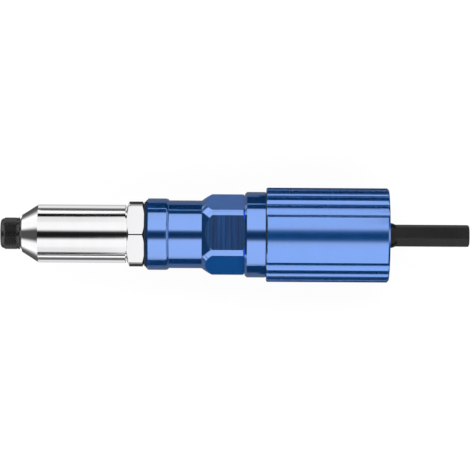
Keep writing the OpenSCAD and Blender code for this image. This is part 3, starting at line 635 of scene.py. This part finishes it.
class RIVET_OT_nosepiece(bpy.types.Operator):
    """Models the nosepiece: diamond knurl, rounded front, threaded shank, tail and bore"""
    bl_idname = "rivet.nosepiece"
    bl_label = "Knurled nosepiece"

    def execute(self, context):
        s = context.scene.nosepiece_sizes
        front, back, end = 0.0, s.head_length, NOSE_HIGH.x
        band_low, band_high = front + s.front_round, back - s.smooth_ring
        root, ring = NOSE_R - s.knurl_depth, NOSE_R - RING_DROP
        thread_root = s.thread_radius - s.thread_depth
        band = knurled_band("knurl", band_low, band_high, NOSE_R,
                            s.knurl_around, s.knurl_along, s.knurl_depth)
        skin = outline("skin", [
            (band_high, root), (band_high + RING_RISE_L, ring),
            (back - RING_BEVEL_L, ring), (back, NOSE_R - RING_BEVEL_DROP),
            (back, thread_root), (s.thread_end - THREAD_BEVEL, thread_root),
            (s.thread_end, thread_root - THREAD_BEVEL),
            (s.thread_end + TAIL_STEP_L, s.tail_radius),
            (end - TAIL_BEVEL, s.tail_radius), (end, s.tail_radius - TAIL_BEVEL),
            (end, s.bore), (front + BORE_BEVEL_L, s.bore), (front, s.bore + BORE_BEVEL_H),
            *((front + behind * MM, root - below * MM) for behind, below in FRONT_EDGE),
            (band_low, root)])
        spin_round(skin, s.knurl_around * 2)
        nose = join("nosepiece_knurled", skin, band)
        bpy.ops.object.mode_set(mode="EDIT")
        for station in (band_low, band_high):
            select_where(nose, "EDGE", lambda mesh, e, x=station: all(
                abs(mesh.vertices[i].co.x - x) < SAME_STATION
                and mesh.vertices[i].co.yz.length > root - RIM_BAND for i in e.vertices))
            bpy.ops.mesh.bridge_edge_loops()
        bpy.ops.mesh.select_all(action="SELECT")
        bpy.ops.mesh.normals_make_consistent(inside=False)
        bpy.ops.object.mode_set(mode="OBJECT")
        ridge = helix_ridge("thread", back + THREAD_LEAD, s.thread_end - THREAD_TAIL,
                            thread_root, s.thread_radius, s.thread_pitch)
        nose = join("nosepiece_knurled", nose, ridge)
        smooth(nose, SMOOTH_ANGLE)
        nose.data.materials.append(metal(
            "black_oxide_knurl", colour(context.scene.finish_colours.black, 0.8), rough=0.26,
            rough_swing=0.08, metallic=0.0, lines=5.0, line_depth=0.004, tone_swing=0.5,
            specular=1.0))
        settle(nose, "nosepiece", "black_steel", "nosepiece")
        return {"FINISHED"}


# Finishes of the CAD solids

RING_FRONT_MM = BODY_LOW.x / MM + 0.9    # stations of the blue edges that are worn and carry a painted highlight
RING_BACK_MM = 52.75
SLEEVE_FRONT_MM = SLEEVE_LOW.x / MM + 0.3


class RIVET_OT_head_finish(bpy.types.Operator):
    """Gives the head its chrome plate"""
    bl_idname = "rivet.head_finish"
    bl_label = "Chromed head"

    def execute(self, context):
        c = context.scene.finish_colours
        chrome = metal("chrome_plate", colour(c.chrome), rough=0.07, rough_swing=0.03,
                       lines=7.0, line_depth=0.0008, tone_swing=0.05)
        give(chrome, "head")
        return {"FINISHED"}


class RIVET_OT_blue_finish(bpy.types.Operator):
    """Gives the front body and the grip sleeve their blue anodising"""
    bl_idname = "rivet.blue_finish"
    bl_label = "Blue body and sleeve"

    def execute(self, context):
        c = context.scene.finish_colours
        f = context.scene.finish_sizes
        body = metal("blue_anodised_body", colour(c.blue), worn_and_lit=c.worn_and_highlit_blue, rough=0.12,
                     rough_swing=0.03, metallic=0.84, lines=5.0, line_depth=0.001,
                     tone_swing=0.08, coat=1.0, coat_rough=0.04, coat_ior=2.9,
                     worn_lit_edges=((RING_FRONT_MM, 0.1), (RING_BACK_MM, 0.1)),
                     milled=(f.flat_height / MM, f.flat_turn))
        sleeve = metal("blue_anodised_sleeve", colour(c.blue), worn_and_lit=c.worn_and_highlit_blue, rough=0.24,
                       rough_swing=0.04, metallic=0.84, lines=4.0, line_depth=0.001,
                       tone_swing=0.1, coat=1.0, coat_rough=0.1, coat_ior=2.7,
                       worn_lit_edges=((SLEEVE_FRONT_MM, 0.12),))
        give(body, "front_body")
        give(sleeve, "grip_sleeve")
        return {"FINISHED"}


class RIVET_OT_drive_finish(bpy.types.Operator):
    """Gives the drive spindle its black oxide"""
    bl_idname = "rivet.drive_finish"
    bl_label = "Drive spindle"

    def execute(self, context):
        c = context.scene.finish_colours
        give(metal("black_oxide_shank", colour(c.black, 0.7), rough=0.2, rough_swing=0.06,
                   metallic=0.0, lines=6.0, line_depth=0.004, tone_swing=0.3,
                   specular=0.45), "spindle")
        return {"FINISHED"}


class RIVET_OT_inner_finish(bpy.types.Operator):
    """Gives the carriage, the jaws, the bearing and the seals their finishes"""
    bl_idname = "rivet.inner_finish"
    bl_label = "Inner parts"

    def execute(self, context):
        c = context.scene.finish_colours
        give(metal("turned_steel", colour(c.steel), rough=0.28),
             "carriage", "lock_nut", "jaw_case", "jaw_pusher", "guide_keys")
        give(metal("hardened_steel", colour(c.hard_steel), rough=0.32, tone_swing=0.25),
             "jaw_1", "jaw_2", "jaw_3")
        give(metal("ground_steel", colour(c.ground_steel), rough=0.12, lines=9.0,
                   line_depth=0.002), "fixed_washer", "turning_washer", "bearing_balls")
        give(metal("spring_wire", colour(c.spring_steel), rough=0.25, lines=3.0,
                   line_depth=0.002), "pusher_spring")
        give(metal("sintered_bronze", colour(c.bronze), rough=0.42, lines=3.0, tone_swing=0.3),
             "rear_bush", "back_washer")
        give(metal("stamped_brass", colour(c.brass), rough=0.3, lines=2.0), "bearing_cage")
        give(soft_solid("seal_rubber", c.rubber), "front_gasket", "rear_gasket", "shank_seal")
        give(soft_solid("buffer_plastic", c.plastic, rough=0.5), "buffer_ring")
        return {"FINISHED"}


# Studio: the surroundings' zones and tones are stops of (place, value)

FRONT_ZONE = [(0.033, 0.0), (0.038, 1.0), (0.12, 1.0), (0.2, 0.0)]
OPEN_ZONE = [(0.35, 0.0), (0.55, 1.0)]
REAR_ZONE = [(0.2, 0.0), (0.4, 1.0)]
END_ZONE = [(0.93, 0.0), (0.95, 1.0)]
SOFT_GAP = [(0.0, 0.006), (0.165, 0.02), (0.19, 0.07), (0.225, 0.23), (0.26, 0.5),
            (0.29, 0.65), (0.335, 0.88), (0.4, 1.0)]
SHARP_GAP = [(0.0, 0.006), (0.1, 0.025), (0.15, 0.08), (0.2, 0.2), (0.23, 0.45),
             (0.26, 0.65), (0.3, 0.92), (0.34, 1.0)]
FRONT_BOXES = [(0.0, 1.0), (0.26, 0.97), (0.31, 0.82), (0.4, 0.78), (0.412, 0.6),
               (0.425, 0.005), (0.5, 0.005), (0.505, 0.85), (1.0, 0.85)]
BACK_BOXES = [(0.0, 1.0), (0.36, 0.97), (0.412, 0.9), (0.43, 0.01), (1.0, 0.01)]
LEAN = math.radians(2)
FRONT_LEAN = math.radians(2.5)
OPEN_SHIFT = 0.06        # how far the open end moves the gap sideways
LEFT_SHIFT = 0.06        # how much lower the left boxes end
GAP_SPREAD = 0.35        # how much wider the gap is towards the tool's ends
OPEN_GAP_TONE = 0.075    # least tone of the gap at the open end
WHITE = (1, 1, 1, 1)
REAR_TONE = (0.5, 0.5, 0.5, 1)
END_TONE = (0.01, 0.01, 0.01, 1)
DIFFUSE_BOOST = 1.4      # extra light that matt surfaces get
FLOOR_SIZE = 8.0
FLOOR_X = 75 * MM
FLOOR_GLOW = 0.9         # how much of the table's white doesn't depend on the light


def overhead_gap(n, side, end, front, open_end):
    """The dark gap overhead, with softer edges over the front of the tool."""
    spread = n.math("DIVIDE", side, n.math("ADD", 1.0, n.math("MULTIPLY", end, GAP_SPREAD)))
    gap = n.mix(front, n.ramp(spread, SHARP_GAP), n.ramp(spread, SOFT_GAP))
    return n.math("MAXIMUM", gap, n.math("MULTIPLY", open_end, OPEN_GAP_TONE))


def side_boxes(n, tilt, left, front, open_end):
    """The soft boxes on both sides, which reach down to just above the table."""
    back_tilt = n.math("SUBTRACT", tilt, n.math("MULTIPLY", left, LEFT_SHIFT))
    boxes = n.mix(front, n.ramp(back_tilt, BACK_BOXES), n.ramp(tilt, FRONT_BOXES))
    return n.mix(open_end, boxes, WHITE)


def studio_world():
    """Soft white boxes on both sides of a dark gap overhead, leaning a little to one side."""
    world = bpy.data.worlds.new("studio_world")
    bpy.context.scene.world = world
    world.use_nodes = True
    n = Nodes(world.node_tree)
    way = n.add("ShaderNodeTexCoord").outputs["Generated"]
    x, y, z = n.add("ShaderNodeSeparateXYZ", {0: way}).outputs
    forward = n.math("MULTIPLY", x, -1.0)
    front, open_end = n.ramp(forward, FRONT_ZONE), n.ramp(forward, OPEN_ZONE)
    lean = n.math("ADD", LEAN, n.math("MULTIPLY", front, FRONT_LEAN))
    leant_y = n.math("ADD", y, n.math("MULTIPLY", z, lean))
    leant_y = n.math("ADD", leant_y, n.math("MULTIPLY", open_end, OPEN_SHIFT))
    leant_z = n.math("SUBTRACT", z, n.math("MULTIPLY", y, lean))
    side, end = n.math("ABSOLUTE", leant_y), n.math("ABSOLUTE", x)
    tilt = n.math("DIVIDE", n.math("ARCTAN2", side, leant_z), math.pi)
    left = n.math("LESS_THAN", leant_y, 0.0)
    light = n.mix(1.0, overhead_gap(n, side, end, front, open_end),
                  side_boxes(n, tilt, left, front, open_end), "MULTIPLY")
    light = n.mix(n.ramp(end, END_ZONE), light, END_TONE)
    path = n.add("ShaderNodeLightPath")
    rear = n.math("MULTIPLY", n.ramp(x, REAR_ZONE), path.outputs["Is Glossy Ray"])
    light = n.mix(rear, light, REAR_TONE)
    boost = n.math("MULTIPLY", path.outputs["Is Diffuse Ray"], DIFFUSE_BOOST)
    seen = n.mix(path.outputs["Is Camera Ray"], light, WHITE)
    back = n.add("ShaderNodeBackground", {"Color": seen, "Strength": n.math("ADD", 1.0, boost)})
    n.add("ShaderNodeOutputWorld", {"Surface": back.outputs[0]})


def studio_floor(height):
    """A white table that looks white to the camera and to shiny metal, and keeps a faint shadow."""
    bpy.ops.mesh.primitive_plane_add(size=FLOOR_SIZE, location=(FLOOR_X, 0, height))
    floor = bpy.context.object
    floor.name = "studio_floor"
    material = bpy.data.materials.new("white_table")
    material.use_nodes = True
    n = Nodes(material.node_tree)
    path = n.add("ShaderNodeLightPath")
    direct = n.add("ShaderNodeClamp", {"Value": n.math(
        "ADD", n.math("ADD", path.outputs["Is Camera Ray"], path.outputs["Is Glossy Ray"]),
        path.outputs["Is Transmission Ray"])}).outputs[0]
    matt = n.add("ShaderNodeBsdfDiffuse", {"Color": WHITE})
    glow = n.add("ShaderNodeEmission", {"Color": WHITE, "Strength": 1.0})
    share = n.math("MULTIPLY", direct, FLOOR_GLOW)
    both = n.add("ShaderNodeMixShader", {0: share, 1: matt.outputs[0], 2: glow.outputs[0]})
    n.add("ShaderNodeOutputMaterial", {"Surface": both.outputs[0]})
    floor.data.materials.append(material)


def card(name, location, width, depth, stops, rotation=(0, 0, 0)):
    """A plane that shows only in the tool's reflections.

    The stops give its tone at distances in mm from the tool's axis, sideways."""
    bpy.ops.mesh.primitive_plane_add(size=1.0)
    o = bpy.context.object
    o.name = name
    o.scale = (width, depth, 1)
    bpy.ops.object.transform_apply(location=True, rotation=True, scale=True)
    o.location, o.rotation_euler = location, rotation
    bpy.ops.object.transform_apply(location=True, rotation=True, scale=True)
    far = stops[-1][0] * MM
    material = bpy.data.materials.new(name)
    material.use_nodes = True
    n = Nodes(material.node_tree)
    place = n.add("ShaderNodeTexCoord").outputs["Object"]
    y = n.add("ShaderNodeSeparateXYZ", {0: place}).outputs[1]
    share = n.math("DIVIDE", n.math("ABSOLUTE", y), far)
    tone = n.ramp(share, [(at * MM / far, tone) for at, tone in stops])
    glow = n.add("ShaderNodeEmission", {"Color": tone, "Strength": 1.0})
    n.add("ShaderNodeOutputMaterial", {"Surface": glow.outputs[0]})
    o.data.materials.append(material)
    o.visible_camera = o.visible_diffuse = o.visible_shadow = False
    o.visible_transmission = False


def table_card(name, low_x, high_x, side, height, stops, slant=0.0):
    """A card that lies on the table on one side of the tool, with ends that may slant forward."""
    near, far = stops[0][0] * MM, stops[-1][0] * MM
    middle = (low_x + high_x) / 2 - slant * (far - near) / 2
    card(name, (middle, side * (near + far) / 2, height), high_x - low_x, far - near, stops,
         (0, 0, side * math.atan(slant)))


# Tones of the cards, as stops of (mm from the axis, tone)
NOSE_TONES = [(12, 0.085), (24, 0.085), (32, 0.14), (42, 0.35), (54, 0.66), (68, 0.9), (82, 1.0)]
COLLAR_TONES = [(4, 0.04), (28, 0.04), (34, 0.3), (44, 0.6)]
BODY_TONES = [(0, 0.17), (43, 0.17), (45, 0.006), (700, 0.006)]
SLEEVE_TONES = [(0, 0.17), (33, 0.17), (35, 0.006), (700, 0.006)]
BARREL_TONES_RIGHT = [(4, 0.5), (18, 0.56), (25, 0.85), (34, 0.8), (44, 0.12), (95, 0.12)]
BARREL_TONES_LEFT = [(4, 0.6), (18, 0.68), (26, 0.85), (30, 0.5), (34, 0.15), (66, 0.15)]
FAR_TONES = [(150, 0.006), (700, 0.006)]
SLOPE_TONES = [(0, 0.02), (22, 0.02)]
HIGH_TONES = [(90, 0.25), (180, 0.25)]

# Where the cards begin and end along the axis, and how they lie
NOSE_CARD_X = -130 * MM
BARREL_X = 8 * MM
FAR_CARD_X = -150 * MM
CARDS_END_X = 600 * MM
COLLAR_CARD_L = 6 * MM
SLEEVE_CARD_LEAD = 2 * MM
CARD_LIFT = 0.1 * MM
SLEEVE_CARD_LIFT = 0.05 * MM
BODY_CARD_SLANT = 0.032
SENSOR_WIDTH = 36.0


def studio_cards(height):
    """The cards on the table, the one before the ring's slope and the one over the shank."""
    body_x, sleeve_x = BODY_LOW.x, SLEEVE_LOW.x - SLEEVE_CARD_LEAD
    collar_x = body_x - COLLAR_CARD_L
    lie = height + CARD_LIFT
    for side, name in ((1, "right"), (-1, "left")):
        table_card(f"nose_card_{name}", NOSE_CARD_X, BARREL_X, side, lie, NOSE_TONES)
        table_card(f"collar_card_{name}", collar_x, body_x, side, lie, COLLAR_TONES)
        table_card(f"body_card_{name}", body_x, CARDS_END_X, side, lie, BODY_TONES,
                   BODY_CARD_SLANT)
        table_card(f"sleeve_card_{name}", sleeve_x, CARDS_END_X, side,
                   lie + SLEEVE_CARD_LIFT, SLEEVE_TONES)
    table_card("barrel_card_right", BARREL_X, collar_x, 1, lie, BARREL_TONES_RIGHT)
    table_card("barrel_card_left", BARREL_X, collar_x, -1, lie, BARREL_TONES_LEFT)
    table_card("far_card", FAR_CARD_X, body_x, -1, lie, FAR_TONES)
    card("slope_card", (body_x - 0.2 * MM, 0, 12 * MM), 20 * MM, 44 * MM, SLOPE_TONES,
         (0, RIGHT_ANGLE, 0))
    card("high_card", (SLEEVE_HIGH.x + 32 * MM, 136 * MM, 200 * MM), 40 * MM, 80 * MM,
         HIGH_TONES)


class RIVET_OT_studio(bpy.types.Operator):
    """Sets up the white table, the soft light and the camera above the tool"""
    bl_idname = "rivet.studio"
    bl_label = "Photo studio"

    def execute(self, context):
        s = context.scene.studio_settings
        height = CAD_BOX[0].z - s.floor_gap
        studio_world()
        studio_floor(height)
        studio_cards(height)
        middle = (CAD_BOX[0].x + CAD_BOX[1].x) / 2
        bpy.ops.object.camera_add(
            location=(middle, s.view_centre_y, s.camera_distance), rotation=(0, 0, s.roll))
        camera = context.object
        camera.name = "photo_camera"
        camera.data.lens = SENSOR_WIDTH * s.camera_distance / s.view_width
        camera.data.clip_start, camera.data.clip_end = 0.01, 20.0
        context.scene.camera = camera
        context.scene.view_settings.view_transform = "Standard"
        return {"FINISHED"}


# Panel and registration

class RIVET_PT_sidebar(bpy.types.Panel):
    """Lists the steps that dress the rivet head"""
    bl_idname = "RIVET_PT_sidebar"
    bl_label = "Rivet head"
    bl_space_type = "VIEW_3D"
    bl_region_type = "UI"
    bl_category = "Rivet head"

    def draw(self, context):
        for name in SETTINGS:
            group = getattr(context.scene, name)
            box = self.layout.box()
            for key in group.__annotations__:
                box.prop(group, key)
        for step in STEPS:
            self.layout.operator(step.bl_idname)


STEPS = (RIVET_OT_nosepiece, RIVET_OT_head_finish, RIVET_OT_blue_finish,
         RIVET_OT_drive_finish, RIVET_OT_inner_finish, RIVET_OT_studio)
SETTINGS = {"nosepiece_sizes": NosepieceSizes, "finish_colours": FinishColours,
            "finish_sizes": FinishSizes, "studio_settings": StudioSettings}


def register():
    """Adds the settings, the operators and the panel."""
    for cls in (*SETTINGS.values(), *STEPS, RIVET_PT_sidebar):
        bpy.utils.register_class(cls)
    for key, cls in SETTINGS.items():
        setattr(bpy.types.Scene, key, PointerProperty(type=cls))


def unregister():
    """Takes away what register added."""
    for key in SETTINGS:
        delattr(bpy.types.Scene, key)
    for cls in (RIVET_PT_sidebar, *reversed(STEPS), *reversed(SETTINGS.values())):
        bpy.utils.unregister_class(cls)


def main():
    """Registers the add-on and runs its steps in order."""
    register()
    bpy.ops.rivet.nosepiece()
    bpy.ops.rivet.head_finish()
    bpy.ops.rivet.blue_finish()
    bpy.ops.rivet.drive_finish()
    bpy.ops.rivet.inner_finish()
    bpy.ops.rivet.studio()


if __name__ == "__main__":
    main()
